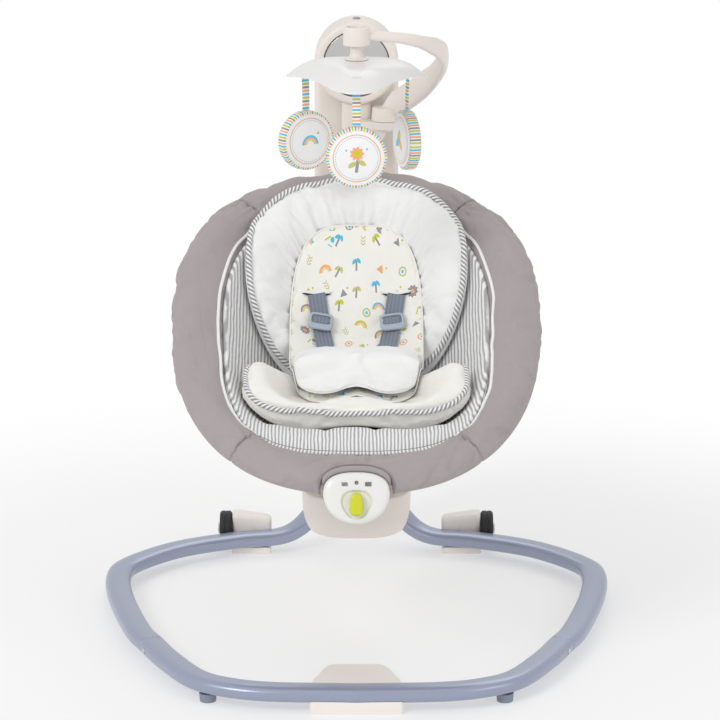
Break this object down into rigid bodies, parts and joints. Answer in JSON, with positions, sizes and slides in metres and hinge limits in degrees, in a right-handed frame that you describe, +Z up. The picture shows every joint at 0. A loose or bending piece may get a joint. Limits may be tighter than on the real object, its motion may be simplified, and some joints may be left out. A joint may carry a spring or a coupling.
{
  "type": "electric baby swing",
  "caption": "Padded reclining baby seat on a side-to-side swing arm hung from a rear post, with a tubular floor loop, vibration unit, harness and hanging toy mobile.",
  "frame": {"origin": "on the floor under the middle of the whole swing", "axes": "+Z up, -Y the front where the seat opens, +X the side that the mobile's arm curls round"},
  "size_m": [0.7146, 0.757, 0.8255],
  "materials": {
    "tube": "satin blue-grey metallic paint",
    "rubber_grey": "matt",
    "beige_plastic": "fine satin, warm off-white",
    "white_plastic": "soft gloss",
    "grey_gloss": "clear gloss over grey",
    "grey_plastic": "satin",
    "black_plastic": "matt",
    "lime_plastic": "soft gloss",
    "board_green": "satin",
    "steel": "plain zinc-plated",
    "copper_coil": "lacquered wire",
    "taupe_cloth": "plain weave",
    "white_cloth": "soft plain weave",
    "cream_cloth": "soft plain weave",
    "grey_striped_cloth": "fine grey and white stripes",
    "striped_cloth": "woven coloured stripes",
    "toy_cloth": "short plush",
    "webbing": "woven webbing"
  },
  "bodies": {
    "base": {"front_base_tube": "tube", "left_rear_tube": "tube", "right_rear_tube": "tube", "left_front_foot": "rubber_grey", "right_front_foot": "rubber_grey", "front_shoe": "beige_plastic", "left_wheel_housing": "beige_plastic", "right_wheel_housing": "beige_plastic", "left_wheel_axle": "steel", "right_wheel_axle": "steel", "post_foot": "beige_plastic", "post_front_shell": "beige_plastic", "post_rear_shell": "beige_plastic", "head_bezel_ring": "beige_plastic", "head_glass_panel": "grey_gloss", "pivot_bearing": "steel", "drive_coil": "copper_coil", "circuit_board": "board_green", "speaker": "grey_plastic", "battery_door": "beige_plastic", "power_inlet": "black_plastic"},
    "left_wheel": {"left_wheel": "black_plastic"},
    "right_wheel": {"right_wheel": "black_plastic"},
    "left_snap_button": {"left_snap_button": "steel"},
    "right_snap_button": {"right_snap_button": "steel"},
    "top_button": {"head_top_button": "grey_plastic"},
    "swing": {"pivot_shaft": "steel", "drive_magnet_arm": "steel", "swing_arm": "beige_plastic", "dock": "beige_plastic", "recline_axle": "steel", "mobile_bracket": "beige_plastic", "mobile_hinge_pin": "steel"},
    "mobile": {"mobile_arm": "beige_plastic"},
    "canopy": {"mobile_spindle": "beige_plastic", "mobile_canopy": "white_plastic"},
    "left_hanging_toy": {"left_ribbon": "striped_cloth", "left_toy": "toy_cloth"},
    "front_hanging_toy": {"front_ribbon": "striped_cloth", "front_toy": "toy_cloth"},
    "right_hanging_toy": {"right_ribbon": "striped_cloth", "right_toy": "toy_cloth"},
    "seat": {"seat_ring_tube": "tube", "seat_frame": "beige_plastic", "rim_cover": "taupe_cloth", "seat_liner": "grey_striped_cloth", "body_support": "white_cloth", "body_support_pad": "cream_cloth", "seat_cushion": "white_cloth", "crotch_pad": "white_cloth", "left_shoulder_strap": "webbing", "right_shoulder_strap": "webbing", "waist_strap": "webbing", "left_strap_slider": "grey_plastic", "right_strap_slider": "grey_plastic", "harness_buckle": "grey_plastic", "vibration_unit": "white_plastic", "vibration_motor": "steel"},
    "buckle_button": {"buckle_button": "grey_plastic"},
    "vibration_knob": {"vibration_knob": "lime_plastic"}
  },
  "joints": [
    {"name": "swing_hinge", "type": "hinge", "parent": "base", "child": "swing", "pos_m": [0, 0.2855, 0.735], "axis": [0, 1, 0], "range_deg": [-12, 12]},
    {"name": "seat_recline", "type": "hinge", "parent": "swing", "child": "seat", "pos_m": [0, -0.02, 0.224], "axis": [1, 0, 0], "range_deg": [0, 8]},
    {"name": "mobile_turn", "type": "hinge", "parent": "swing", "child": "mobile", "pos_m": [0.041, 0.264, 0.654], "axis": [0, 0, 1], "range_deg": [0, 75]},
    {"name": "canopy_spin", "type": "hinge", "parent": "mobile", "child": "canopy", "pos_m": [0, 0.03, 0.781], "axis": [0, 0, 1], "continuous": true},
    {"name": "left_toy_swing", "type": "hinge", "parent": "canopy", "child": "left_hanging_toy", "pos_m": [-0.06928, 0.07, 0.75666], "axis": [0.8387, 0.5446, 0], "range_deg": [-15, 15]},
    {"name": "front_toy_swing", "type": "hinge", "parent": "canopy", "child": "front_hanging_toy", "pos_m": [0, -0.05, 0.75666], "axis": [0.9986, 0.0523, 0], "range_deg": [-15, 15]},
    {"name": "right_toy_swing", "type": "hinge", "parent": "canopy", "child": "right_hanging_toy", "pos_m": [0.06928, 0.07, 0.75666], "axis": [0.2924, -0.9563, 0], "range_deg": [-15, 15]},
    {"name": "left_wheel_spin", "type": "hinge", "parent": "base", "child": "left_wheel", "pos_m": [-0.195, 0.3035, 0.029], "axis": [1, 0, 0], "continuous": true},
    {"name": "right_wheel_spin", "type": "hinge", "parent": "base", "child": "right_wheel", "pos_m": [0.195, 0.3035, 0.029], "axis": [1, 0, 0], "continuous": true},
    {"name": "left_snap_press", "type": "slide", "parent": "base", "child": "left_snap_button", "axis": [-0.9236, -0.3835, 0], "range_m": [-0.0025, 0], "stiffness_N_per_m": 300, "springref_m": 0.001},
    {"name": "right_snap_press", "type": "slide", "parent": "base", "child": "right_snap_button", "axis": [0.9236, -0.3835, 0], "range_m": [-0.0025, 0], "stiffness_N_per_m": 300, "springref_m": 0.001},
    {"name": "top_button_press", "type": "slide", "parent": "base", "child": "top_button", "axis": [0, 0, 1], "range_m": [-0.0015, 0], "stiffness_N_per_m": 300, "springref_m": 0.001},
    {"name": "buckle_press", "type": "slide", "parent": "seat", "child": "buckle_button", "axis": [0, -0.4058, 0.9139], "range_m": [-0.0015, 0], "stiffness_N_per_m": 300, "springref_m": 0.001},
    {"name": "knob_turn", "type": "hinge", "parent": "seat", "child": "vibration_knob", "pos_m": [0, -0.35436, 0.27533], "axis": [0, -0.9563, 0.2924], "range_deg": [-45, 45]}
  ]
}
